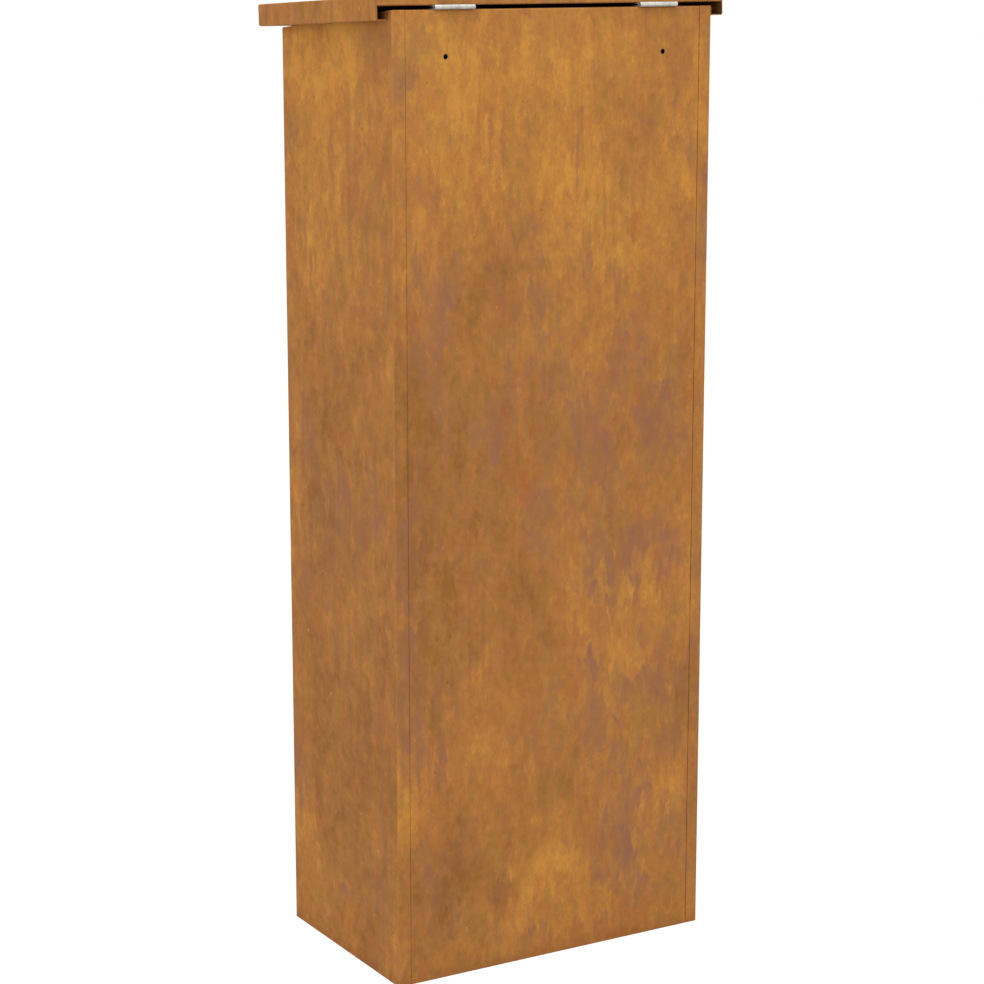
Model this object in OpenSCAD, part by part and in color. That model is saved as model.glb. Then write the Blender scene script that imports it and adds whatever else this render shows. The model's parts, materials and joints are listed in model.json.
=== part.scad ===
// Upright weathered-steel mailbox: a folded sheet body that stands on the ground, a lid that
// lifts on two butt hinges at the back, and a lockable door in the lower front.
// Millimetres. Origin: middle of the base, on the ground. +Z up, the front faces -Y.

/* [Body] */
// Width over the side panels
body_w = 314; // [260:1:420]
// Depth from the front face to the back face
body_d = 200; // [160:1:300]
// Height of the back
body_h = 835; // [620:1:1200]
// How much lower the front is than the back
front_drop = 19; // [8:1:24]
// Thickness of the steel sheet
sheet = 1; // [0.8:0.1:1.3]
// Outside radius of a fold
bend_r = 1.5; // [1.3:0.1:2.5]
// Width of the side panels' folded edges on the front and the back
seam_flange = 12; // [8:1:20]
// Open width of the seam beside each folded edge
seam_gap = 0.15; // [0.1:0.05:0.8]
// How far a panel reaches under the folded edge
lap_w = 9; // [4:1:10]
// Width of the inward flange along the top of the front and back panels
top_flange_w = 20; // [20:1:30]
// Height of the base plate's upturned edges
base_rim = 15; // [8:1:30]

/* [Wall fixing] */
// Diameter of each wall screw hole
wall_hole_d = 4.5; // [3:0.5:8]
// Distance of a hole from the body's side
wall_hole_inset = 50; // [30:1:80]
// Distance of a hole below the top of the back
wall_hole_drop = 38; // [25:1:80]

/* [Lid] */
// How far the lid reaches past each side of the body
lid_side_over = 13; // [11:1:25]
// How far the lid reaches past the front
lid_front_over = 19; // [12:1:40]
// How far the lid's rear face stays in front of the back's face
lid_rear_inset = 2; // [0:0.5:4]
// Height of the lid's front and side skirts
lid_skirt = 19; // [17:1:30]
// Height of the lid's rear skirt
lid_rear_skirt = 7.6; // [6:0.2:10]
// Room between the body's side and the lid's upturned lip
lid_lip_gap = 2.5; // [1:0.5:4]
// Height of the upturned lip inside the skirts
lid_lip = 7; // [4:1:9]
// Depth of the flange that carries the lid's hinges
lid_rear_return = 20; // [20:1:30]
// How far the front return reaches behind the body's front face
lid_front_reach = 11; // [10:1:16]

/* [Hinges] */
// Length of a hinge
hinge_l = 38; // [30:1:60]
// Number of knuckles
knuckles = 5; // [3:2:7]
// Outside radius of a knuckle
knuckle_r = 2.15; // [1.8:0.05:2.6]
// Radius of a hinge pin
pin_r = 1.1; // [0.8:0.05:1.4]
// Thickness of a hinge leaf
leaf_t = 1; // [0.8:0.1:1.2]
// Reach of a leaf inwards from the body's face
leaf_w = 17; // [12:0.5:18]
// Gap between the two flanges that a closed hinge sits in
hinge_gap = 3.4; // [3.2:0.1:4.4]
// Distance of a lid hinge from the body's side
lid_hinge_inset = 38; // [25:1:60]
// Distance of a door hinge from the end of the door opening
door_hinge_inset = 45; // [30:1:80]

/* [Door] */
// Width of the door opening
opening_w = 250; // [200:1:260]
// Height of the door opening
opening_h = 420; // [300:1:480]
// Height of the opening's sill above the ground
opening_z = 50; // [30:1:90]
// Gap around the door, apart from its hinge side
door_gap = 1.5; // [1.5:0.1:3]
// Depth of the door's folded edges
door_t = 20; // [19:1:22]
// Width of the strike flange that the cam closes behind
strike_w = 10; // [6:1:12]

/* [Lock] */
// Radius of the lock's threaded barrel
lock_r = 9; // [8:0.5:10]
// Radius of the turning plug
plug_r = 6; // [5:0.5:7]
// Distance of the lock from the opening's edge
lock_inset = 26; // [24:1:40]
// Width of the cam
cam_w = 12; // [8:1:14]
// Thickness of the cam
cam_t = 2; // [1.5:0.5:3]

/* [Hidden] */
$fn = 48;

fold_steps = 5; // flats that make up a quarter turn of a fold
fit = 0.05; // clearance of a rivet, pin or plug in its hole
loose = 0.2; // clearance between pieces that move past each other
over = 1; // how far a cutter runs past the surface it cuts

half_w = body_w / 2;
front_y = -body_d / 2;
back_y = body_d / 2;
front_h = body_h - front_drop;
seam_x = half_w - seam_flange; // cut edge of a side panel's folded edge
jog = sheet / 2; // run of the joggle that sets a panel's edge back
panel_x = seam_x - seam_gap - jog; // edge of the flat face between the seams

axis_out = knuckle_r; // the hinge axis stands this far proud of the face
lid_axis_y = back_y + axis_out;
lid_hinge_x = half_w - lid_hinge_inset - hinge_l / 2;

pad_r = 4; // rubber pad that the lid rests on
pad_h = 1.4;
pad_y = front_y + 6;
pad_x = panel_x - 25;

// The lid in its own frame, which turns about the hinge axis and has its top sheet level.
lid_half_w = half_w + lid_side_over;
lid_rear = -axis_out - lid_rear_inset; // rear face of the lid
lid_d = body_d + lid_front_over - lid_rear_inset;
lid_front = lid_rear - lid_d;
lid_top = hinge_gap / 2 + lid_rear_skirt;
lid_bottom = lid_top - lid_skirt;
lip_x = half_w + lid_lip_gap;
front_return_y = lid_front + lid_front_over + lid_front_reach;

// The lid's slope at which its front return just clears the front edge of the pads.
function slope_at(axis_z) =
    let (y = lid_axis_y - (pad_y - pad_r), z = axis_z - (front_h + pad_h + loose))
    acos(-lid_bottom / norm([y, z])) - atan2(y, z);
// The height of the axis at which half a hinge fits over a flange of the same slope.
function axis_at(slope) = body_h + hinge_gap / 2 / cos(slope) + axis_out * tan(slope);
// The slope and the height hang together, and settle within a few rounds.
lid_tilt = slope_at(axis_at(slope_at(axis_at(slope_at(body_h)))));
lid_axis_z = axis_at(lid_tilt);

reveal_d = door_t + 2; // depth of the folded edges round the opening
opening_top = opening_z + opening_h;
door_left = -opening_w / 2 + hinge_gap;
door_right = opening_w / 2 - door_gap;
door_axis_x = -opening_w / 2 + hinge_gap / 2;
door_axis_y = front_y - axis_out;
door_hinge_z = [opening_top - door_hinge_inset - hinge_l / 2, opening_z + door_hinge_inset + hinge_l / 2];

lock_x = opening_w / 2 - lock_inset;
lock_z = opening_z + opening_h / 2;
lock_head_t = 2.5; // flange in front of the door
nut_h = 4;
nut_r = lock_r + 4.5; // over the corners
cam_y = front_y + reveal_d + 1; // the cam passes this far behind the strike flange
cam_reach = lock_inset - 4;
tail_r = 3; // half width of the plug's square tail
washer_t = 1;
screw_r = 2;
rivet_r = 1.5;
rivet_head_r = 2.75;
rivet_dome_h = 0.9;
rivet_tail_h = 1.2;
rivet_inset = 5; // from both edges of a leaf

rust = [0.69, 0.45, 0.21];
rust_dark = [0.58, 0.37, 0.18];
zinc = [0.78, 0.78, 0.76];
rubber = [0.08, 0.08, 0.08];
chrome = [0.85, 0.85, 0.86];

// ---- Folded sheet ----

function unit(v) = v / norm(v);
function left_of(v) = [-v[1], v[0]];

// The corner p between a and b, rounded to radius r.
function rounded(a, p, b, r) =
    r <= 0 ? [p] :
    let (
        u = unit(a - p),
        v = unit(b - p),
        half = acos(u * v) / 2,
        c = p + unit(u + v) * r / sin(half),
        s = p + u * r / tan(half) - c,
        turn = (cross(u, v) > 0 ? -1 : 1) * (180 - 2 * half)
    )
    [for (i = [0:fold_steps]) let (t = turn * i / fold_steps)
        c + [s[0] * cos(t) - s[1] * sin(t), s[0] * sin(t) + s[1] * cos(t)]];

// A closed outline from points [x, y, radius].
function outline(pts) =
    let (n = len(pts), xy = [for (p = pts) [p[0], p[1]]])
    [for (i = [0:n - 1]) each rounded(xy[(i + n - 1) % n], xy[i], xy[(i + 1) % n], pts[i][2])];

// A strip of sheet whose outer face follows path, with the metal on the path's left.
function strip(path) =
    let (
        n = len(path),
        side = [for (i = [0:n - 2]) left_of(unit(path[i + 1] - path[i]))],
        turn = [for (i = [1:n - 2]) cross(side[i - 1], side[i])],
        outer = bend_r,
        inner = max(0, bend_r - sheet),
        near = [for (i = [0:n - 1]) let (r = i == 0 || i == n - 1 ? 0 : turn[i - 1] > 0 ? outer : inner)
            [path[i][0], path[i][1], r]],
        far = [for (i = [0:n - 1])
            let (
                shift = i == 0 ? side[0] : i == n - 1 ? side[n - 2] : side[i - 1] + side[i],
                r = i == 0 || i == n - 1 ? 0 : turn[i - 1] > 0 ? inner : outer,
                q = path[i] + sheet * shift
            )
            [q[0], q[1], r]]
    )
    outline([each near, each [for (i = [n - 1:-1:0]) far[i]]]);

// Its children's x and y become Y and Z, and they are extruded along X.
module along_x(length) {
    rotate([90, 0, 90]) linear_extrude(length, center = true) children();
}

// A block w by l by h, its lower edges rounded to r_low and its upper edges to r_high.
module block(w, l, h, r_low, r_high = 0) {
    intersection() {
        along_x(w) polygon(outline([[-l / 2, 0, r_low], [l / 2, 0, r_low], [l / 2, h, r_high], [-l / 2, h, r_high]]));
        rotate([90, 0, 0]) linear_extrude(l, center = true)
            polygon(outline([[-w / 2, 0, r_low], [w / 2, 0, r_low], [w / 2, h, r_high], [-w / 2, h, r_high]]));
    }
}

// A folded tray, its face on z = 0 and its edges turned up to h.
module tray(w, l, h) {
    difference() {
        block(w, l, h, bend_r);
        translate([0, 0, sheet]) block(w - 2 * sheet, l - 2 * sheet, h, max(0, bend_r - sheet));
    }
}

// ---- Body ----

// Everything under the sloping top of the body.
module below_slope() {
    slope = front_drop / body_d;
    along_x(2 * body_w)
        polygon([
            [-body_d, -over], [body_d, -over],
            [body_d, body_h + slope * body_d / 2], [-body_d, body_h - slope * body_d * 3 / 2]
        ]);
}

module side_panel() {
    color(rust)
    intersection() {
        linear_extrude(body_h)
            polygon(strip([[seam_x, front_y], [half_w, front_y], [half_w, back_y], [seam_x, back_y]]));
        below_slope();
    }
}

// A panel that lies flush between two seams: outer face on y = 0, inside towards -y.
module flush_panel(h, flange_slope = 0) {
    lap_x = seam_x + lap_w;
    flange_end = [-cos(flange_slope), -sin(flange_slope)] * top_flange_w;
    along_x(2 * panel_x) polygon(strip([[0, 0], [0, h], [0, h] + flange_end]));
    for (s = [0, 1]) mirror([s, 0, 0])
        linear_extrude(h - bend_r)
            polygon([
                [panel_x - over, 0], [panel_x, 0], [panel_x + jog, -sheet], [lap_x, -sheet],
                [lap_x, -2 * sheet], [panel_x, -2 * sheet], [panel_x - jog, -sheet], [panel_x - over, -sheet]
            ]);
}

module back_panel() {
    color(rust)
    difference() {
        translate([0, back_y, 0]) flush_panel(body_h, lid_tilt);
        for (s = [-1, 1]) {
            translate([s * (half_w - wall_hole_inset), back_y, body_h - wall_hole_drop])
                rotate([90, 0, 0]) cylinder(r = wall_hole_d / 2, h = 4 * sheet, center = true);
            place_lid_hinge(s) flange_holes();
        }
    }
}

// The folded edges round the door opening, before the opening is cut through them.
module door_frame() {
    translate([0, front_y + reveal_d / 2, opening_z + opening_h / 2])
        cube([opening_w + 2 * sheet, reveal_d, opening_h + 2 * sheet], center = true);
}

// A cut of half width half through the face at y = 0, whose rim flares out by the fold's radius.
function flared_cut(half) = [
    [-half - bend_r, -over], [half + bend_r, -over],
    for (i = [0:fold_steps]) let (a = 90 * i / fold_steps)
        [half + bend_r * (1 - sin(a)), bend_r * (1 - cos(a))],
    [half, reveal_d + over], [-half, reveal_d + over],
    for (i = [fold_steps:-1:0]) let (a = 90 * i / fold_steps)
        [-half - bend_r * (1 - sin(a)), bend_r * (1 - cos(a))]
];

module door_opening() {
    translate([0, front_y, opening_z + opening_h / 2])
        intersection() {
            linear_extrude(opening_h + 4 * bend_r, center = true) polygon(flared_cut(opening_w / 2));
            along_x(opening_w + 4 * bend_r)
                polygon([for (p = flared_cut(opening_h / 2)) [p[1], p[0]]]);
        }
}

module front_panel() {
    strike_y = front_y + reveal_d - sheet;
    color(rust)
    difference() {
        union() {
            difference() {
                union() {
                    translate([0, front_y, 0]) mirror([0, 1, 0]) flush_panel(front_h);
                    door_frame();
                }
                door_opening();
            }
            translate([opening_w / 2 - strike_w, strike_y, opening_z]) cube([strike_w + sheet, sheet, opening_h]);
        }
        for (z = door_hinge_z) place_door_hinge(z) flange_holes();
    }
}

// Stands between the side panels, and between the laps of the front and back panels.
module base_plate() {
    color(rust_dark) tray(body_w - 2 * sheet, body_d - 4 * sheet, base_rim);
}

module rest_pad(s) {
    color(rubber) translate([s * pad_x, pad_y, front_h]) cylinder(r = pad_r, h = pad_h);
}

// ---- Hinge: axis along X through the origin, leaves towards -y, one below and one above ----

knuckle_l = hinge_l / knuckles;
leaf_face = hinge_gap / 2; // outer face of a leaf, against its flange
leaf_end = axis_out + leaf_w;

module at_rivets() {
    for (s = [-1, 1]) translate([s * (hinge_l / 2 - rivet_inset), rivet_inset - leaf_end, 0]) children();
}

// A rivet that enters a leaf from the gap, where z = 0 is the leaf's free face. The lower leaf's
// rivets have domed heads and the upper leaf's are countersunk, so that the hinge can close.
module rivet(domed, extra = 0) {
    cone = leaf_t * 0.8;
    dome_r = (rivet_head_r ^ 2 + rivet_dome_h ^ 2) / (2 * rivet_dome_h);
    translate([0, 0, -leaf_t - sheet]) cylinder(r = rivet_r + extra, h = leaf_t + sheet);
    if (domed) intersection() {
        translate([0, 0, rivet_dome_h - dome_r]) sphere(r = dome_r);
        cylinder(r = 2 * rivet_head_r, h = 2 * rivet_dome_h);
    }
    else translate([0, 0, -cone]) cylinder(r1 = rivet_r + extra, r2 = rivet_head_r + extra, h = cone);
}

module rivet_with_tail(domed) {
    rivet(domed);
    translate([0, 0, -leaf_t - sheet - rivet_tail_h])
        cylinder(r1 = rivet_r, r2 = rivet_head_r, h = rivet_tail_h);
}

// The lower leaf, whose knuckles are the even ones, or the odd ones for the upper leaf.
module leaf(odd) {
    own = [for (i = [0:knuckles - 1]) if (i % 2 == odd) i];
    clear_y = -knuckle_r - loose;
    difference() {
        union() {
            translate([-hinge_l / 2, -leaf_end, -leaf_face]) cube([hinge_l, leaf_end + clear_y, leaf_t]);
            for (i = own) translate([-hinge_l / 2 + i * knuckle_l, 0, 0]) {
                start = i == 0 ? 0 : loose / 2;
                size = knuckle_l - start - (i == knuckles - 1 ? 0 : loose / 2);
                translate([start, 0, 0]) rotate([0, 90, 0]) cylinder(r = knuckle_r, h = size);
                translate([start, clear_y - over, -leaf_face]) cube([size, over - clear_y, leaf_t]);
            }
        }
        rotate([0, 90, 0]) cylinder(r = pin_r + fit, h = hinge_l + 2 * over, center = true);
        at_rivets() translate([0, 0, -leaf_face + leaf_t]) rivet(odd == 0, fit);
    }
}

module pin() {
    rotate([0, 90, 0]) cylinder(r = pin_r, h = hinge_l, center = true);
}

module leaf_rivets(domed) {
    at_rivets() translate([0, 0, -leaf_face + leaf_t]) rivet_with_tail(domed);
}

// Holes for the rivets in the flange under the lower leaf.
module flange_holes() {
    at_rivets() translate([0, 0, -leaf_face - 2 * sheet]) cylinder(r = rivet_r + fit, h = 3 * sheet);
}

// A closed hinge has the slope of the lid.
module place_lid_hinge(s) {
    translate([s * lid_hinge_x, lid_axis_y, lid_axis_z]) rotate([lid_tilt, 0, 0]) children();
}

// The axis stands upright, the lower leaf lies on the frame and the upper leaf on the door.
module place_door_hinge(z) {
    translate([door_axis_x, door_axis_y, z])
        multmatrix([[0, 0, 1, 0], [0, -1, 0, 0], [1, 0, 0, 0], [0, 0, 0, 1]]) children();
}

module lid_hinge_body_leaf(s) { color(zinc) place_lid_hinge(s) leaf(0); }
module lid_hinge_lid_leaf(s) { color(zinc) place_lid_hinge(s) mirror([0, 0, 1]) leaf(1); }
module lid_hinge_pin(s) { color(zinc) place_lid_hinge(s) pin(); }
module lid_hinge_body_rivets() { color(zinc) for (s = [-1, 1]) place_lid_hinge(s) leaf_rivets(true); }
module lid_hinge_lid_rivets() {
    color(zinc) for (s = [-1, 1]) place_lid_hinge(s) mirror([0, 0, 1]) leaf_rivets(false);
}
module door_hinge_frame_leaf(z) { color(zinc) place_door_hinge(z) leaf(0); }
module door_hinge_door_leaf(z) { color(zinc) place_door_hinge(z) mirror([0, 0, 1]) leaf(1); }
module door_hinge_pin(z) { color(zinc) place_door_hinge(z) pin(); }
module door_hinge_frame_rivets() {
    color(zinc) for (z = door_hinge_z) place_door_hinge(z) leaf_rivets(true);
}
module door_hinge_door_rivets() {
    color(zinc) for (z = door_hinge_z) place_door_hinge(z) mirror([0, 0, 1]) leaf_rivets(false);
}

// ---- Lid ----

module lid_shell() {
    inner_w = 2 * (lid_half_w - sheet);
    mid_y = (lid_front + lid_rear) / 2;
    inner_r = max(0, bend_r - sheet);
    difference() {
        translate([0, mid_y, lid_bottom]) block(2 * lid_half_w, lid_d, lid_skirt, bend_r, bend_r);
        translate([0, mid_y, lid_bottom + sheet])
            block(inner_w, lid_d - 2 * sheet, lid_skirt - 2 * sheet, inner_r, inner_r);
        // The mouth between the side channels and behind the front return
        translate([-lip_x, front_return_y, lid_bottom - over])
            cube([2 * lip_x, lid_d, sheet + 2 * over]);
        // The rear wall, as far down as the side skirts go
        translate([-inner_w / 2, lid_rear - sheet - bend_r, lid_bottom - over])
            cube([inner_w, 2 * bend_r + sheet + over, lid_skirt + over - bend_r]);
    }
    along_x(inner_w)
        polygon(strip([
            [lid_rear - lid_rear_return, hinge_gap / 2], [lid_rear, hinge_gap / 2], [lid_rear, lid_top - bend_r]
        ]));
}

// The lips that stand up along the edges of the lid's mouth.
module lid_lips() {
    side_l = lid_rear - sheet - bend_r - front_return_y;
    front_w = 2 * (lip_x + sheet);
    for (s = [0, 1]) mirror([s, 0, 0])
        translate([lip_x, front_return_y, lid_bottom]) cube([sheet, side_l, lid_lip]);
    translate([-front_w / 2, front_return_y - sheet, lid_bottom]) cube([front_w, sheet, lid_lip]);
}

module lid() {
    color(rust)
    translate([0, lid_axis_y, lid_axis_z]) rotate([lid_tilt, 0, 0])
        difference() {
            union() {
                lid_shell();
                lid_lips();
            }
            for (s = [-1, 1]) translate([s * lid_hinge_x, 0, 0]) mirror([0, 0, 1]) flange_holes();
        }
}

// ---- Door and lock ----

// Its children's -z becomes the door's outside: z = 0 is the door's outer face.
module at_lock() {
    translate([lock_x, front_y, lock_z]) rotate([-90, 0, 0]) children();
}

module door() {
    door_w = door_right - door_left;
    door_h = opening_h - 2 * door_gap;
    color(rust)
    difference() {
        translate([(door_left + door_right) / 2, front_y, opening_z + opening_h / 2])
            rotate([-90, 0, 0]) tray(door_w, door_h, door_t);
        at_lock() translate([0, 0, -over]) cylinder(r = lock_r + fit, h = sheet + 2 * over);
        for (z = door_hinge_z) place_door_hinge(z) mirror([0, 0, 1]) flange_holes();
    }
}

barrel_end = reveal_d - 0.2;
cam_z = cam_y - front_y;

module lock_barrel() {
    color(chrome) at_lock()
        difference() {
            union() {
                translate([0, 0, -lock_head_t]) cylinder(r1 = lock_r + 1.5, r2 = lock_r + 2.5, h = 1);
                translate([0, 0, 1 - lock_head_t]) cylinder(r = lock_r + 2.5, h = lock_head_t - 1);
                cylinder(r = lock_r, h = barrel_end);
            }
            translate([0, 0, -lock_head_t - over])
                cylinder(r = plug_r + fit, h = barrel_end + lock_head_t + 2 * over);
        }
}

module lock_nut() {
    color(zinc) at_lock() translate([0, 0, sheet])
        difference() {
            cylinder(r = nut_r, h = nut_h, $fn = 6);
            translate([0, 0, -over]) cylinder(r = lock_r + fit, h = nut_h + 2 * over);
        }
}

module lock_plug() {
    key_slot = [1.4, plug_r * 1.3, 9];
    color(chrome) at_lock()
        difference() {
            union() {
                translate([0, 0, -lock_head_t]) cylinder(r = plug_r, h = lock_head_t + cam_z);
                translate([-tail_r, -tail_r, cam_z]) cube([2 * tail_r, 2 * tail_r, cam_t]);
            }
            translate([-key_slot[0] / 2, -key_slot[1] / 2, -lock_head_t - over])
                cube([key_slot[0], key_slot[1], key_slot[2] + over]);
            translate([0, 0, cam_z - 6]) cylinder(r = screw_r, h = cam_t + 6 + over);
        }
}

// Hangs down from the plug, which is the unlocked position.
module lock_cam() {
    color(zinc) at_lock() translate([0, 0, cam_z])
        difference() {
            union() {
                cylinder(r = cam_w / 2, h = cam_t);
                translate([-cam_w / 2, 0, 0]) cube([cam_w, cam_reach, cam_t]);
            }
            translate([-tail_r - fit, -tail_r - fit, -over])
                cube([2 * (tail_r + fit), 2 * (tail_r + fit), cam_t + 2 * over]);
        }
}

module lock_cam_washer() {
    color(zinc) at_lock() translate([0, 0, cam_z + cam_t])
        difference() {
            cylinder(r = 5, h = washer_t);
            translate([0, 0, -over]) cylinder(r = screw_r + fit, h = washer_t + 2 * over);
        }
}

module lock_cam_screw() {
    head_h = 2;
    color(zinc) at_lock()
        difference() {
            union() {
                translate([0, 0, cam_z - 5]) cylinder(r = screw_r, h = 5 + cam_t + washer_t);
                translate([0, 0, cam_z + cam_t + washer_t]) cylinder(r1 = 3.5, r2 = 2.6, h = head_h);
            }
            for (a = [0, 90]) rotate([0, 0, a])
                translate([-0.4, -2, cam_z + cam_t + washer_t + 1]) cube([0.8, 4, head_h]);
        }
}

mirror([1, 0, 0]) side_panel();  // left_side
side_panel();  // right_side
back_panel();
front_panel();
base_plate();
rest_pad(-1);  // lid_rest_pad_left
rest_pad(1);  // lid_rest_pad_right
lid_hinge_body_leaf(-1);  // lid_hinge_left_body_leaf
lid_hinge_lid_leaf(-1);  // lid_hinge_left_lid_leaf
lid_hinge_pin(-1);  // lid_hinge_left_pin
lid_hinge_body_leaf(1);  // lid_hinge_right_body_leaf
lid_hinge_lid_leaf(1);  // lid_hinge_right_lid_leaf
lid_hinge_pin(1);  // lid_hinge_right_pin
lid_hinge_body_rivets();
lid_hinge_lid_rivets();
lid();
door_hinge_frame_leaf(door_hinge_z[0]);  // door_hinge_upper_frame_leaf
door_hinge_door_leaf(door_hinge_z[0]);  // door_hinge_upper_door_leaf
door_hinge_pin(door_hinge_z[0]);  // door_hinge_upper_pin
door_hinge_frame_leaf(door_hinge_z[1]);  // door_hinge_lower_frame_leaf
door_hinge_door_leaf(door_hinge_z[1]);  // door_hinge_lower_door_leaf
door_hinge_pin(door_hinge_z[1]);  // door_hinge_lower_pin
door_hinge_frame_rivets();
door_hinge_door_rivets();
door();
lock_barrel();
lock_nut();
lock_plug();
lock_cam();
lock_cam_washer();
lock_cam_screw();
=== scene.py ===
import json
import math
import bpy
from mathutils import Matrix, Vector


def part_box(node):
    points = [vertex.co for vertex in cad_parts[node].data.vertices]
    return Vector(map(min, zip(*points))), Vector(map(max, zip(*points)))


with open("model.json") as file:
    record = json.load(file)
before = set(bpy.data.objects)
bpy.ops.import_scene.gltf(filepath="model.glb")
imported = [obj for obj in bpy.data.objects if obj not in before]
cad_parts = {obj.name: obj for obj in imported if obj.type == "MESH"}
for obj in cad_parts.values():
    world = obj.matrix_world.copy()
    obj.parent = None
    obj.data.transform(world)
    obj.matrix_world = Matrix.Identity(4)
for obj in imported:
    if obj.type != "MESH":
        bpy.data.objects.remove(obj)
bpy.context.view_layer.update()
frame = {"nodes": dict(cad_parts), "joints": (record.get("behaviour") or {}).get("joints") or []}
nodes = frame["nodes"]
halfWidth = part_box("right_side")[1].x
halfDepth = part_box("back_panel")[1].y
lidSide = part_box("lid")[1].x
lidAxis = next(joint["pos_m"] for joint in frame["joints"] if joint["name"] == "lid_hinge")
print("frame loaded")


def newMaterial(name):
    mat = bpy.data.materials.new(name)
    mat.use_nodes = True
    tree = mat.node_tree
    return mat, tree, tree.nodes["Principled BSDF"]


def addNode(tree, kind, settings=None, inputs=None):
    # makes a node, sets its properties, and gives each input a value or a link
    node = tree.nodes.new(kind)
    for key, value in (settings or {}).items():
        setattr(node, key, value)
    for key, value in (inputs or {}).items():
        if isinstance(value, bpy.types.NodeSocket):
            tree.links.new(value, node.inputs[key])
        else:
            node.inputs[key].default_value = value
    return node


def noise(tree, vector, scale, detail, roughness):
    return addNode(tree, "ShaderNodeTexNoise", {}, {
        "Vector": vector, "Scale": scale, "Detail": detail, "Roughness": roughness}).outputs["Fac"]


def stretched(tree, vector, scale, location=(0, 0, 0)):
    return addNode(tree, "ShaderNodeMapping", {}, {
        "Vector": vector, "Location": location, "Scale": scale}).outputs["Vector"]


def remap(tree, value, low, high, toLow=0.0, toHigh=1.0, smooth=True):
    return addNode(tree, "ShaderNodeMapRange", {
        "interpolation_type": "SMOOTHSTEP" if smooth else "LINEAR"}, {
        "Value": value, "From Min": low, "From Max": high,
        "To Min": toLow, "To Max": toHigh}).outputs["Result"]


def calc(tree, operation, a, b=0.0, c=0.0):
    node = tree.nodes.new("ShaderNodeMath")
    node.operation = operation
    for i, value in enumerate((a, b, c)):
        if isinstance(value, bpy.types.NodeSocket):
            tree.links.new(value, node.inputs[i])
        else:
            node.inputs[i].default_value = value
    return node.outputs[0]


def blendColour(tree, factor, a, b, mode="MIX"):
    node = addNode(tree, "ShaderNodeMix", {"data_type": "RGBA", "blend_type": mode})
    for socket, value in ((node.inputs[0], factor), (node.inputs[6], a), (node.inputs[7], b)):
        if isinstance(value, bpy.types.NodeSocket):
            tree.links.new(value, socket)
        else:
            socket.default_value = value
    return node.outputs[2]


def colour(red, green, blue):
    # screen values from 0 to 255, as linear light
    def linear(c):
        c /= 255
        return c / 12.92 if c <= 0.04045 else ((c + 0.055) / 1.055) ** 2.4
    return (linear(red), linear(green), linear(blue), 1)


rust = {
    # shades from deep to golden, and the overlays
    "shades": ((0.0, (146, 96, 47)), (0.25, (160, 107, 56)), (0.5, (172, 115, 59)),
               (0.75, (186, 127, 60)), (1.0, (201, 141, 62))),
    "violet": (150, 102, 74),
    "red": (168, 97, 50),
    "pit": (104, 66, 40),
    "speck": (205, 158, 100),
    # how many to about a metre, so a larger number is a finer pattern
    "clouds": 12.0, "streaks": 70.0, "runs": 150.0, "runAreas": 14.0, "dabs": (75.0, 150.0),
    "violetStains": 15.0, "redBlush": 17.0, "grain": 520.0, "pits": 230.0, "specks": 210.0,
    # how strongly each one shows
    "cloudDepth": 1.3, "streakDepth": 0.9, "runDepth": 0.8, "dabDepth": 0.11, "violetDepth": 4.2,
    "violetMost": 0.85, "runViolet": 0.5, "redMost": 0.55, "hueDepth": 0.024, "grainDepth": 0.03,
    "pitMost": 0.5, "speckMost": 0.45,
    "drawnOut": 0.7,      # the noises are read at this share of the height, which draws them out upwards
    "ragged": (0.024, 0.024, 0.038),    # how far the edges of the broad areas wander, in metres
    # how the marks wander: how fine, detail, roughness, reach in metres, and how upright
    "wander": ((150.0, 3, 0.6, (0.0003, 0.0003, 0.007), 0.1),
               (90.0, 4, 0.7, (0.0011, 0.0011, 0.0022), 1.0),
               (1500.0, 1, 0.5, (0.0006, 0.0006, 0.0010), 1.0)),
    # upright brush-like marks: width in metres, height to width, how far they hold one colour
    "broadMarks": (0.018, 2.0, 0.6),
    "fineMarks": (0.0055, 2.0, 0.85),
    "roughness": (0.9, 0.76), "gloss": 0.12, "bump": 0.18, "bumpHeight": 0.0005,
}

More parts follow.
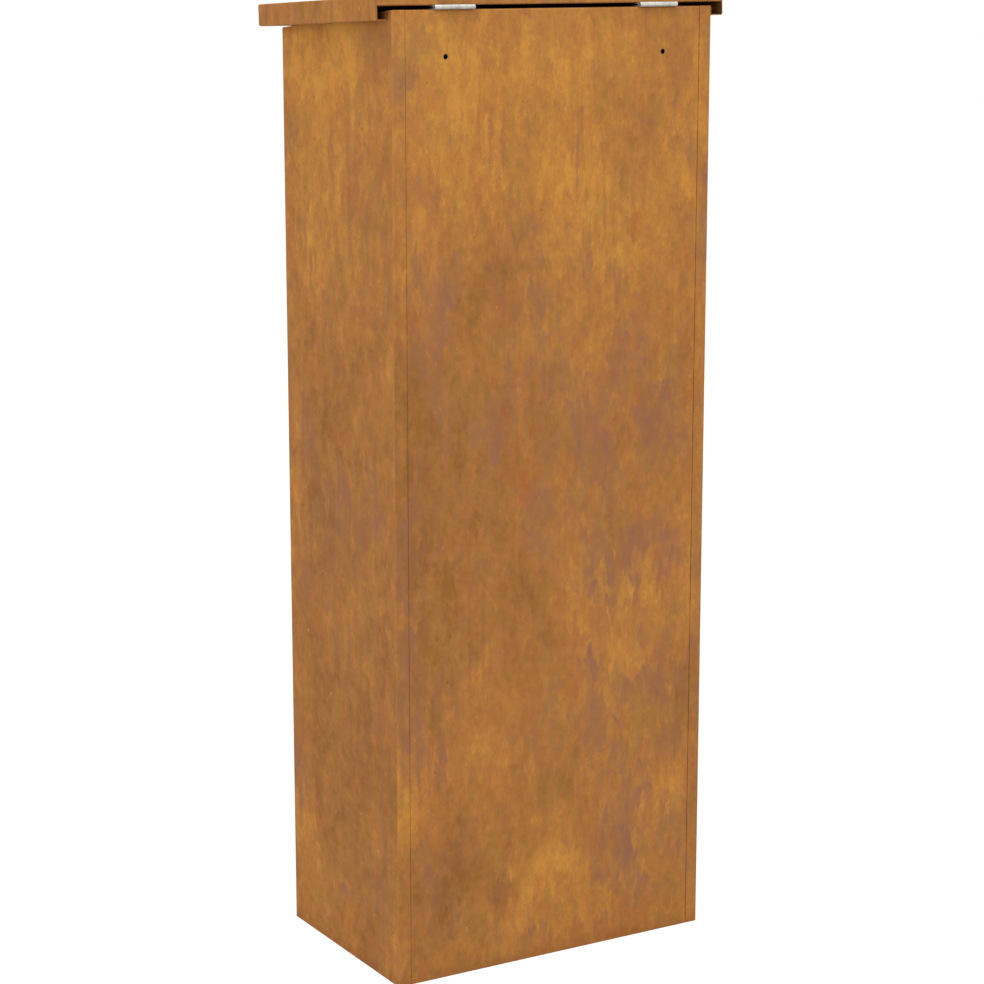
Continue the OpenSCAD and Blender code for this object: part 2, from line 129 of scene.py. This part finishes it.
# broad soft areas: place across the sheet and up it, width and height in metres, and strength;
# golden ones brighten and negative ones darken
backPatches = {
    "golden": (
        ((0.085, 0.750), 0.14, 0.20, 0.36), ((-0.020, 0.690), 0.16, 0.22, 0.26),
        ((-0.125, 0.650), 0.09, 0.24, 0.12), ((0.000, 0.800), 0.34, 0.12, 0.20),
        ((0.135, 0.640), 0.06, 0.16, 0.16), ((0.050, 0.635), 0.09, 0.12, -0.14),
        ((0.080, 0.540), 0.20, 0.20, -0.20), ((0.080, 0.380), 0.20, 0.34, -0.24),
        ((-0.070, 0.450), 0.16, 0.20, -0.14), ((-0.080, 0.300), 0.16, 0.10, 0.26),
        ((0.100, 0.085), 0.14, 0.12, -0.44), ((-0.005, 0.070), 0.10, 0.12, 0.16),
        ((-0.110, 0.135), 0.07, 0.14, 0.24), ((0.095, 0.015), 0.06, 0.04, 0.26),
        ((0.040, 0.150), 0.16, 0.12, -0.16), ((0.150, 0.400), 0.08, 0.40, -0.30),
        ((0.150, 0.160), 0.07, 0.16, 0.28), ((-0.115, 0.200), 0.10, 0.12, -0.18),
        ((-0.050, 0.430), 0.10, 0.12, -0.12),
    ),
    "violet": (
        ((0.000, 0.760), 0.50, 0.20, -0.24), ((0.050, 0.610), 0.08, 0.14, 0.26),
        ((0.085, 0.510), 0.18, 0.18, 0.34), ((-0.068, 0.430), 0.16, 0.24, 0.50),
        ((-0.075, 0.360), 0.13, 0.09, 0.60), ((0.145, 0.380), 0.05, 0.30, 0.46),
        ((-0.025, 0.230), 0.09, 0.14, 0.34), ((-0.085, 0.120), 0.06, 0.26, 0.50),
        ((0.060, 0.370), 0.14, 0.24, -0.20),
    ),
    "red": (
        ((0.062, 0.185), 0.12, 0.14, 0.10), ((0.053, 0.455), 0.05, 0.08, 0.08),
        ((-0.030, 0.170), 0.05, 0.08, 0.08),
    ),
}
rightPatches = {
    "golden": (
        ((-0.045, 0.720), 0.14, 0.26, 0.22), ((0.040, 0.760), 0.14, 0.16, 0.18),
        ((-0.045, 0.630), 0.08, 0.14, 0.22), ((0.000, 0.540), 0.22, 0.16, -0.16),
        ((-0.030, 0.420), 0.14, 0.26, -0.24), ((0.075, 0.320), 0.04, 0.22, 0.10),
        ((0.010, 0.210), 0.28, 0.28, -0.30), ((-0.085, 0.100), 0.06, 0.18, 0.20),
        ((0.030, 0.060), 0.14, 0.16, -0.20), ((0.090, 0.500), 0.06, 0.26, -0.22),
        ((0.090, 0.320), 0.06, 0.18, -0.42), ((0.092, 0.110), 0.05, 0.22, -0.16),
        # painted light: the first golden area here brightens the top of the side against the shade under
        # the lid's overhang
        ((-0.030, 0.800), 0.22, 0.12, 0.34), ((0.060, 0.770), 0.08, 0.12, -0.20),
        ((-0.050, 0.430), 0.14, 0.14, -0.12), ((-0.045, 0.385), 0.10, 0.16, -0.16),
        ((-0.040, 0.160), 0.10, 0.18, -0.14),
    ),
    "violet": (
        ((0.030, 0.720), 0.04, 0.20, 0.24), ((0.075, 0.620), 0.05, 0.16, 0.26),
        ((0.000, 0.520), 0.20, 0.16, 0.10), ((-0.025, 0.390), 0.09, 0.22, 0.34),
        ((-0.080, 0.210), 0.06, 0.10, 0.20), ((-0.012, 0.110), 0.04, 0.22, 0.40),
        ((0.000, 0.440), 0.40, 1.20, -0.14),
    ),
    "red": (
        ((-0.070, 0.190), 0.08, 0.12, 0.08), ((0.090, 0.700), 0.05, 0.14, 0.05),
    ),
}


def patchField(tree, point, patches):
    # adds up soft upright ovals
    total = None
    for place, width, height, strength in patches:
        moved = addNode(tree, "ShaderNodeVectorMath", {"operation": "SUBTRACT"}, {0: point, 1: place})
        scaled = addNode(tree, "ShaderNodeVectorMath", {"operation": "MULTIPLY"}, {
            0: moved.outputs[0], 1: (1.6 / width, 1.6 / width, 1.6 / height)})
        length = addNode(tree, "ShaderNodeVectorMath", {"operation": "LENGTH"}, {0: scaled.outputs[0]})
        spot = remap(tree, length.outputs["Value"], 0.0, 1.0, strength, 0.0)
        total = spot if total is None else calc(tree, "ADD", total, spot)
    return total


def marks(tree, point, shape):
    # moves every point towards the middle of its mark, so what is read there is even across it,
    # and gives each mark a hue of its own
    width, tall, hold = shape
    drawn = stretched(tree, point, (1, 1, 1 / tall))
    cells = addNode(tree, "ShaderNodeTexVoronoi", {}, {"Vector": drawn, "Scale": 1 / width})
    middle = stretched(tree, cells.outputs["Position"], (1, 1, tall))
    mix = addNode(tree, "ShaderNodeMix", {"data_type": "VECTOR"}, {0: hold, 4: point, 5: middle})
    return mix.outputs[1], cells.outputs["Color"]


def pushed(tree, point, scale, detail, roughness, reach, upright=1.0):
    # the point pushed about by a noise, up to about reach metres;
    # an upright below 1 draws the noise out upwards
    source = stretched(tree, point, (1, 1, upright))
    push = addNode(tree, "ShaderNodeTexNoise", {}, {
        "Vector": source, "Scale": scale, "Detail": detail, "Roughness": roughness})
    centred = addNode(tree, "ShaderNodeVectorMath", {"operation": "SUBTRACT"}, {
        0: push.outputs["Color"], 1: (0.5, 0.5, 0.5)})
    nudge = addNode(tree, "ShaderNodeVectorMath", {"operation": "MULTIPLY"}, {
        0: centred.outputs[0], 1: [6 * r for r in reach]})
    return addNode(tree, "ShaderNodeVectorMath", {"operation": "ADD"}, {
        0: point, 1: nudge.outputs[0]}).outputs[0]


def shadeRamp(tree, value):
    ramp = addNode(tree, "ShaderNodeValToRGB", {}, {"Fac": value})
    stops = ramp.color_ramp.elements
    for i, (at, shade) in enumerate(rust["shades"]):
        stop = stops[i] if i in (0, 1) else stops.new(at)
        stop.position = at
        stop.color = colour(*shade)
    return ramp.outputs["Color"]


def darkened(tree, tint, mask, share):
    # takes share of the light away where mask is 1
    grey = calc(tree, "MULTIPLY_ADD", mask, -share, 1.0)
    warm = addNode(tree, "ShaderNodeCombineColor", {}, {
        "Red": grey, "Green": calc(tree, "POWER", grey, 1.12), "Blue": calc(tree, "POWER", grey, 1.2)})
    return blendColour(tree, 1.0, tint, warm.outputs[0], "MULTIPLY")


def within(tree, value, low, high, soft=0.0003):
    rise = remap(tree, value, low - soft, low)
    return calc(tree, "MULTIPLY", rise, remap(tree, value, high, high + soft, 1.0, 0.0))


bodyShadeAndFootSet = {
    "skin": 0.0006,    # the painted shade inside starts this far in from the outer faces, within the sheet
    "insideShare": 0.3, "footShare": 0.12, "footHeight": 0.017,
}


def bodyShadeAndFoot(tree, point, tint):
    # painted shade: the inside faces of the box are darker than the weathered outside; the foot is also
    # a little darker towards the bottom
    axes = addNode(tree, "ShaderNodeSeparateXYZ", {}, {0: point})
    x = calc(tree, "ABSOLUTE", axes.outputs["X"])
    y = calc(tree, "ABSOLUTE", axes.outputs["Y"])
    side, face, soft = halfWidth - bodyShadeAndFootSet["skin"], halfDepth - bodyShadeAndFootSet["skin"], 0.0002
    inside = calc(tree, "MULTIPLY", remap(tree, x, side - soft, side + soft, 1.0, 0.0),
                  remap(tree, y, face - soft, face + soft, 1.0, 0.0))
    tint = darkened(tree, tint, inside, bodyShadeAndFootSet["insideShare"])
    height = calc(tree, "MULTIPLY_ADD", noise(tree, point, 90.0, 5, 0.7), -0.03, axes.outputs["Z"])
    foot = remap(tree, height, -bodyShadeAndFootSet["footHeight"], 0.0, 1.0, 0.0)
    return darkened(tree, tint, foot, bodyShadeAndFootSet["footShare"])


lidShadeSet = {
    # the lid's slope in degrees, and its edges as seen from the hinge's axis
    "slope": 2.715, "bottom": -0.0097, "top": 0.0093, "rear": -0.00415, "front": -0.22115,
    "mouth": 0.0014,                 # the top of the channels' open ends
    "channel": (0.0108, 0.001),      # the channels, inwards from the lid's ends
    "corner": (0.0016, 0.0011),      # the folded corners, inwards from each edge
    "channelShare": 0.66, "insideShare": 0.35, "cornerShare": 0.24,
}


def lidPaintedShade(tree, point, tint):
    # painted shade: the side channels, the underside of the lid and its folded corners are darkened
    axes = addNode(tree, "ShaderNodeSeparateXYZ", {}, {0: point})
    x = calc(tree, "ABSOLUTE", axes.outputs["X"])
    y = calc(tree, "SUBTRACT", axes.outputs["Y"], lidAxis[1])
    z = calc(tree, "SUBTRACT", axes.outputs["Z"], lidAxis[2])
    sine = math.sin(math.radians(lidShadeSet["slope"]))
    along = calc(tree, "MULTIPLY_ADD", z, sine, y)
    up = calc(tree, "MULTIPLY_ADD", y, -sine, z)
    # the steps of a millimetre or less keep each edge within the sheet's thickness
    low, high = lidShadeSet["bottom"] + 0.0008, lidShadeSet["top"] - 0.0006
    behindWall = within(tree, along, lidShadeSet["front"] + 0.0006, lidShadeSet["rear"] - 0.0006)
    under = calc(tree, "MULTIPLY", within(tree, up, low, high), behindWall)
    openEnd = calc(tree, "MULTIPLY", within(tree, up, low, lidShadeSet["mouth"]),
                   remap(tree, along, -0.05, -0.04))
    lip, skirt = (lidSide - depth for depth in lidShadeSet["channel"])
    channel = calc(tree, "MULTIPLY", calc(tree, "MAXIMUM", under, openEnd),
                   within(tree, x, lip, skirt))
    tint = darkened(tree, tint, channel, lidShadeSet["channelShare"])
    inner = calc(tree, "MULTIPLY", under, remap(tree, x, lip - 0.0004, lip - 0.0001, 1.0, 0.0))
    tint = darkened(tree, tint, inner, lidShadeSet["insideShare"])
    deep, shallow = lidShadeSet["corner"]
    side = remap(tree, x, lidSide - deep, lidSide - shallow)
    rear = remap(tree, along, lidShadeSet["rear"] - deep, lidShadeSet["rear"] - shallow)
    front = remap(tree, along, lidShadeSet["front"] + shallow, lidShadeSet["front"] + deep, 1.0, 0.0)
    corner = calc(tree, "MULTIPLY", side, calc(tree, "MAXIMUM", rear, front))
    return darkened(tree, tint, corner, lidShadeSet["cornerShare"])


faces = {
    # where each face of the body reads the pattern; the back reads it at its own place
    "back": (0, 0, 0), "right": (5.1, 1.7, 0), "left": (2.3, 0.4, 0), "front": (8.2, 3.3, 0),
    "foldDepth": 0.0007,    # how far in from the outer faces the edges folded round still count
    "sideAcross": 0.7,      # the sides read the pattern at this share of their depth, so it lies broader
}


def onBack(patches):
    # the back's patches, on its outer face
    return [((across, halfDepth, up), width, height, strength)
            for (across, up), width, height, strength in patches]


def onSide(patches, shift):
    # a side's patches, on its outer face and moved to where that side reads the pattern
    share = faces["sideAcross"]
    return [((halfWidth + shift[0], across * share + shift[1], up + shift[2]),
             width * share, height, strength)
            for (across, up), width, height, strength in patches]


def foldedShift(tree, point, shift):
    # the edges of a side that are folded round carry on the pattern of the back and the front
    depth = addNode(tree, "ShaderNodeSeparateXYZ", {}, {0: point}).outputs["Y"]
    shift = addNode(tree, "ShaderNodeCombineXYZ", {}, {
        "X": shift[0], "Y": calc(tree, "MULTIPLY_ADD", depth, faces["sideAcross"] - 1, shift[1]),
        "Z": shift[2]}).outputs[0]
    fold = halfDepth - faces["foldDepth"]
    for face, low, high in (("back", fold, 1.0), ("front", -1.0, -fold)):
        mix = addNode(tree, "ShaderNodeMix", {"data_type": "VECTOR"}, {
            0: within(tree, depth, low, high), 4: shift, 5: faces[face]})
        shift = mix.outputs[1]
    return shift


def makeRust(name, shift, patches=None, level=0.5, shade=1.0, paintedShade=bodyShadeAndFoot, folded=False):
    mat, tree, shader = newMaterial(name)
    point = addNode(tree, "ShaderNodeTexCoord").outputs["Object"]
    if folded:
        shift = foldedShift(tree, point, shift)
    moved = addNode(tree, "ShaderNodeVectorMath", {"operation": "ADD"}, {0: point, 1: shift}).outputs[0]

    # the marks wander a little, and have soft edges
    wander = moved
    for push in rust["wander"]:
        wander = pushed(tree, wander, *push)
    broad, broadHue = marks(tree, wander, rust["broadMarks"])
    fine, fineHue = marks(tree, wander, rust["fineMarks"])
    ragged = pushed(tree, fine, 30.0, 9, 0.8, rust["ragged"])
    drawn = stretched(tree, broad, (1, 1, rust["drawnOut"]))
    drawnFine = stretched(tree, fine, (1, 1, rust["drawnOut"]))

    clouds = noise(tree, drawn, rust["clouds"], 7, 0.75)
    streaks = noise(tree, stretched(tree, drawnFine, (1, 1, 0.45), (4, 4, 4)), rust["streaks"], 5, 0.75)
    value = calc(tree, "MULTIPLY_ADD", clouds, rust["cloudDepth"], level - 0.5 * rust["cloudDepth"])
    value = calc(tree, "MULTIPLY_ADD", streaks, rust["streakDepth"], value)
    value = calc(tree, "ADD", value, -0.5 * rust["streakDepth"])
    # long thin runs, where water has run down
    runs = noise(tree, stretched(tree, wander, (1, 1, 0.07), (7, 3, 2)), rust["runs"], 3, 0.6)
    areas = noise(tree, stretched(tree, drawn, (1, 1, 1), (2, 6, 9)), rust["runAreas"], 3, 0.6)
    areas = remap(tree, areas, 0.45, 0.6)
    runs = calc(tree, "MULTIPLY", calc(tree, "SUBTRACT", runs, 0.5), areas)
    value = calc(tree, "MULTIPLY_ADD", runs, rust["runDepth"], value)
    # small crisp dabs, some light and some dark
    for size, offset in zip(rust["dabs"], ((6, 1, 2), (2, 8, 6))):
        dabs = noise(tree, stretched(tree, moved, (1, 1, 0.8), offset), size, 5, 0.7)
        value = calc(tree, "ADD", value, remap(tree, dabs, 0.55, 0.58, 0.0, rust["dabDepth"]))
        value = calc(tree, "ADD", value, remap(tree, dabs, 0.42, 0.45, -rust["dabDepth"], 0.0))
    if patches:
        value = calc(tree, "ADD", value, patchField(tree, ragged, patches["golden"]))
    tint = shadeRamp(tree, value)

    stain = stretched(tree, drawnFine, (1, 1, 0.75), (3.1, 7.7, 1.9))
    stain = noise(tree, stain, rust["violetStains"], 8, 0.8)
    violet = calc(tree, "MULTIPLY_ADD", stain, rust["violetDepth"], -0.5 * rust["violetDepth"])
    if patches:
        violet = calc(tree, "ADD", violet, patchField(tree, ragged, patches["violet"]))
    # fine upright streaks break the violet up
    broken = remap(tree, streaks, 0.4, 0.6, 0.6, 1.2)
    violet = calc(tree, "MULTIPLY", remap(tree, violet, 0.02, 0.66, 0.0, rust["violetMost"]), broken)
    tint = blendColour(tree, violet, tint, colour(*rust["violet"]))
    violetRuns = remap(tree, runs, -0.04, -0.16, 0.0, rust["runViolet"])
    tint = blendColour(tree, violetRuns, tint, colour(*rust["violet"]))

    blush = stretched(tree, drawnFine, (1, 1, 1), (9.3, 2.2, 5.5))
    blush = noise(tree, blush, rust["redBlush"], 8, 0.75)
    if patches:
        blush = calc(tree, "ADD", blush, patchField(tree, ragged, patches["red"]))
    blush = remap(tree, blush, 0.53, 0.76, 0.0, rust["redMost"])
    tint = blendColour(tree, blush, tint, colour(*rust["red"]))

    tint = blendColour(tree, rust["hueDepth"], tint, broadHue, "OVERLAY")
    tint = blendColour(tree, rust["hueDepth"], tint, fineHue, "OVERLAY")

    # grain, dark pits and pale specks
    grain = noise(tree, moved, rust["grain"], 3, 0.7)
    grey = remap(tree, grain, 0.25, 0.75, (1 - rust["grainDepth"]) * shade,
                 (1 + rust["grainDepth"]) * shade, False)
    grey = addNode(tree, "ShaderNodeCombineColor", {}, {k: grey for k in ("Red", "Green", "Blue")})
    tint = blendColour(tree, 1.0, tint, grey.outputs[0], "MULTIPLY")
    pits = remap(tree, noise(tree, moved, rust["pits"], 2, 0.5), 0.69, 0.77, 0.0, rust["pitMost"])
    tint = blendColour(tree, pits, tint, colour(*rust["pit"]))
    specks = noise(tree, stretched(tree, moved, (1, 1, 0.7), (5, 5, 5)), rust["specks"], 2, 0.5)
    specks = remap(tree, specks, 0.70, 0.79, 0.0, rust["speckMost"])
    tint = blendColour(tree, specks, tint, colour(*rust["speck"]))
    # painted shade: darkens the part's inside faces, channels or folded corners, and the body's foot
    tint = paintedShade(tree, point, tint)
    tree.links.new(tint, shader.inputs["Base Color"])

    tree.links.new(remap(tree, clouds, 0.3, 0.7, *rust["roughness"]), shader.inputs["Roughness"])
    shader.inputs["Specular IOR Level"].default_value = rust["gloss"]
    height = calc(tree, "ADD", calc(tree, "MULTIPLY", grain, 0.5), calc(tree, "MULTIPLY", clouds, 1.2))
    bump = addNode(tree, "ShaderNodeBump", {}, {
        "Height": height, "Strength": rust["bump"], "Distance": rust["bumpHeight"]})
    tree.links.new(bump.outputs[0], shader.inputs["Normal"])
    return mat


def assign(names, mat):
    for name in names:
        nodes[name].data.materials.clear()
        nodes[name].data.materials.append(mat)


# the sides' folded edges show the back's patches, so both sides have them too
backAreas = {kind: onBack(patches) for kind, patches in backPatches.items()}
rightAreas = {kind: backAreas[kind] + onSide(patches, faces["right"])
              for kind, patches in rightPatches.items()}
assign(["back_panel"], makeRust("rustBack", faces["back"], backAreas))
assign(["right_side"], makeRust("rustRightSide", faces["right"], rightAreas, folded=True))
assign(["left_side"], makeRust("rustLeftSide", faces["left"], backAreas, folded=True))
assign(["front_panel"], makeRust("rustFront", faces["front"]))
assign(["door"], makeRust("rustDoor", (1.2, 9.1, 2.2)))
assign(["lid"], makeRust("rustLid", (4.4, 6.0, 3.1), level=0.54, paintedShade=lidPaintedShade))
assign(["base_plate"], makeRust("rustBase", (7.0, 2.0, 4.0), level=0.3, shade=0.75))
print("rust done")


zinc = {
    "clean": (214, 212, 204), "dull": (150, 148, 142), "filmShare": 0.6,
    "roughness": (0.28, 0.5), "metallic": 0.85,
    "gapShade": (74, 58, 46), "gapShadeDepth": 0.0025,    # the painted shade in the gaps starts this far in from the outer faces
    "downShadeShare": 0.4,
}


def makeZinc(name, place, gapShadeShare=0.2):
    mat, tree, shader = newMaterial(name)
    point = addNode(tree, "ShaderNodeTexCoord").outputs["Object"]
    moved = stretched(tree, point, (1, 1, 1), place)
    spangle = noise(tree, moved, 240.0, 4, 0.6)
    film = remap(tree, noise(tree, moved, 70.0, 5, 0.6), 0.45, 0.7)
    tint = blendColour(tree, calc(tree, "MULTIPLY", film, zinc["filmShare"]),
                       colour(*zinc["clean"]), colour(*zinc["dull"]))
    # painted shade: what sits inside the gaps is darkened towards dark brown, unevenly, and the rivets
    # and screws in it less
    axes = addNode(tree, "ShaderNodeSeparateXYZ", {}, {0: point})
    depth = calc(tree, "ABSOLUTE", axes.outputs["Y"])
    start = halfDepth - zinc["gapShadeDepth"]
    hidden = remap(tree, depth, start - 0.002, start, 1.0, 0.0)
    gapShade = remap(tree, film, 0.0, 1.0, gapShadeShare, min(1.0, gapShadeShare + 0.2))
    hidden = calc(tree, "MULTIPLY", hidden, gapShade)
    tint = blendColour(tree, hidden, tint, colour(*zinc["gapShade"]))
    # painted shade: what faces down is darkened
    facing = addNode(tree, "ShaderNodeTexCoord").outputs["Normal"]
    down = addNode(tree, "ShaderNodeSeparateXYZ", {}, {0: facing}).outputs["Z"]
    tint = darkened(tree, tint, remap(tree, down, -0.6, 0.1, 1.0, 0.0), zinc["downShadeShare"])
    tree.links.new(tint, shader.inputs["Base Color"])
    tree.links.new(remap(tree, spangle, 0.3, 0.7, *zinc["roughness"]), shader.inputs["Roughness"])
    shader.inputs["Metallic"].default_value = zinc["metallic"]
    bump = addNode(tree, "ShaderNodeBump", {}, {"Height": spangle, "Strength": 0.1, "Distance": 0.0002})
    tree.links.new(bump.outputs[0], shader.inputs["Normal"])
    return mat


lockMetal = {"clean": (222, 222, 220), "worn": (170, 168, 164), "roughness": (0.16, 0.38)}


def makeLockMetal():
    mat, tree, shader = newMaterial("lockMetal")
    point = addNode(tree, "ShaderNodeTexCoord").outputs["Object"]
    wear = noise(tree, point, 160.0, 5, 0.6)
    tint = blendColour(tree, remap(tree, wear, 0.45, 0.65),
                       colour(*lockMetal["clean"]), colour(*lockMetal["worn"]))
    tree.links.new(tint, shader.inputs["Base Color"])
    tree.links.new(remap(tree, wear, 0.35, 0.7, *lockMetal["roughness"]), shader.inputs["Roughness"])
    shader.inputs["Metallic"].default_value = 1.0
    return mat


rubber = {"black": (26, 26, 27), "dust": (74, 64, 54), "roughness": 0.85}


def makeRubber():
    mat, tree, shader = newMaterial("rubber")
    point = addNode(tree, "ShaderNodeTexCoord").outputs["Object"]
    dust = remap(tree, noise(tree, point, 300.0, 4, 0.6), 0.45, 0.75)
    tint = blendColour(tree, dust, colour(*rubber["black"]), colour(*rubber["dust"]))
    tree.links.new(tint, shader.inputs["Base Color"])
    shader.inputs["Roughness"].default_value = rubber["roughness"]
    return mat


hingeNodes = [n for n in nodes if n.startswith(("lid_hinge", "door_hinge"))]
rivetNodes = [n for n in hingeNodes if n.endswith("rivets")]
assign([n for n in hingeNodes if n not in rivetNodes], makeZinc("zincHinges", (0, 0, 0), 0.75))
assign(rivetNodes, makeZinc("zincRivets", (4, 1, 2), 0.15))
assign(["lock_nut", "lock_cam", "lock_cam_washer", "lock_cam_screw"], makeZinc("zincLock", (1, 2, 3)))
assign(["lock_barrel", "lock_plug"], makeLockMetal())
assign(["lid_rest_pad_left", "lid_rest_pad_right"], makeRubber())
print("metal and rubber done")


stageSet = {
    "floorSize": 60,
    "floorGrey": 0.86,
    "floorShare": 0.86,    # how much of what the camera sees of the floor is plain white
    "paperWhite": 1.1,
    "worldLight": 0.6,
    "lampAim": (0, 0, 0.45),
    "overhead": {"place": (0.3, 0.6, 3.4), "size": 3.0, "power": 54},
    "front": {"place": (-1.6, -3.2, 2.2), "size": 2.4, "power": 45},
    "back": {"place": (2.6, 2.6, 2.0), "size": 2.4, "power": 38},
}


def seenDirectly(tree):
    # 1 for what the camera, reflections and glass see
    path = addNode(tree, "ShaderNodeLightPath")
    seen = calc(tree, "MAXIMUM", path.outputs["Is Camera Ray"], path.outputs["Is Glossy Ray"])
    return calc(tree, "MAXIMUM", seen, path.outputs["Is Transmission Ray"])


def whiteForCamera(tree, shaderOut, output):
    white = addNode(tree, "ShaderNodeEmission", {}, {
        "Color": (1, 1, 1, 1), "Strength": stageSet["paperWhite"]})
    share = calc(tree, "MULTIPLY", seenDirectly(tree), stageSet["floorShare"])
    mix = addNode(tree, "ShaderNodeMixShader", {}, {0: share, 1: shaderOut, 2: white.outputs[0]})
    tree.links.new(mix.outputs[0], output.inputs["Surface"])


def addFloor():
    bpy.ops.object.select_all(action="DESELECT")
    bpy.ops.mesh.primitive_plane_add(size=stageSet["floorSize"])
    floor = bpy.context.object
    floor.name = "floor"
    mat, tree, shader = newMaterial("floorPaper")
    shader.inputs["Base Color"].default_value = (*[stageSet["floorGrey"]] * 3, 1)
    shader.inputs["Roughness"].default_value = 1.0
    shader.inputs["Specular IOR Level"].default_value = 0.0
    whiteForCamera(tree, shader.outputs[0], tree.nodes["Material Output"])
    floor.data.materials.append(mat)


def addWorld():
    world = bpy.data.worlds.new("studio")
    bpy.context.scene.world = world
    world.use_nodes = True
    tree = world.node_tree
    lit = tree.nodes["Background"]
    lit.inputs["Color"].default_value = (1, 1, 1, 1)
    lit.inputs["Strength"].default_value = stageSet["worldLight"]
    white = addNode(tree, "ShaderNodeBackground", {}, {"Color": (1, 1, 1, 1), "Strength": 1.0})
    mix = addNode(tree, "ShaderNodeMixShader", {}, {
        0: seenDirectly(tree), 1: lit.outputs[0], 2: white.outputs[0]})
    tree.links.new(mix.outputs[0], tree.nodes["World Output"].inputs["Surface"])


def addLamp(name):
    lampSet = stageSet[name]
    bpy.ops.object.light_add(type="AREA", location=lampSet["place"])
    lamp = bpy.context.object
    lamp.name = name + "Lamp"
    lamp.data.shape = "SQUARE"
    lamp.data.size = lampSet["size"]
    lamp.data.energy = lampSet["power"]
    lamp.visible_camera = False
    across, back, up = (a - b for a, b in zip(stageSet["lampAim"], lampSet["place"]))
    lamp.rotation_euler = (math.atan2(math.hypot(across, back), -up), 0, math.atan2(-across, back))


addFloor()
addWorld()
for lampName in ("overhead", "front", "back"):
    addLamp(lampName)

cameraSet = {
    "place": (1.1786, 1.9816, 0.8867), "turn": 149.339, "down": 11.806, "lens": 95.86, "sensor": 36,
}
bpy.ops.object.camera_add(location=cameraSet["place"])
camera = bpy.context.object
camera.rotation_euler = (math.radians(90 - cameraSet["down"]), 0, math.radians(cameraSet["turn"]))
camera.data.lens = cameraSet["lens"]
camera.data.sensor_width = cameraSet["sensor"]
camera.data.clip_end = 200
scene = bpy.context.scene
scene.camera = camera
scene.view_settings.view_transform = "Standard"
print("stage done")
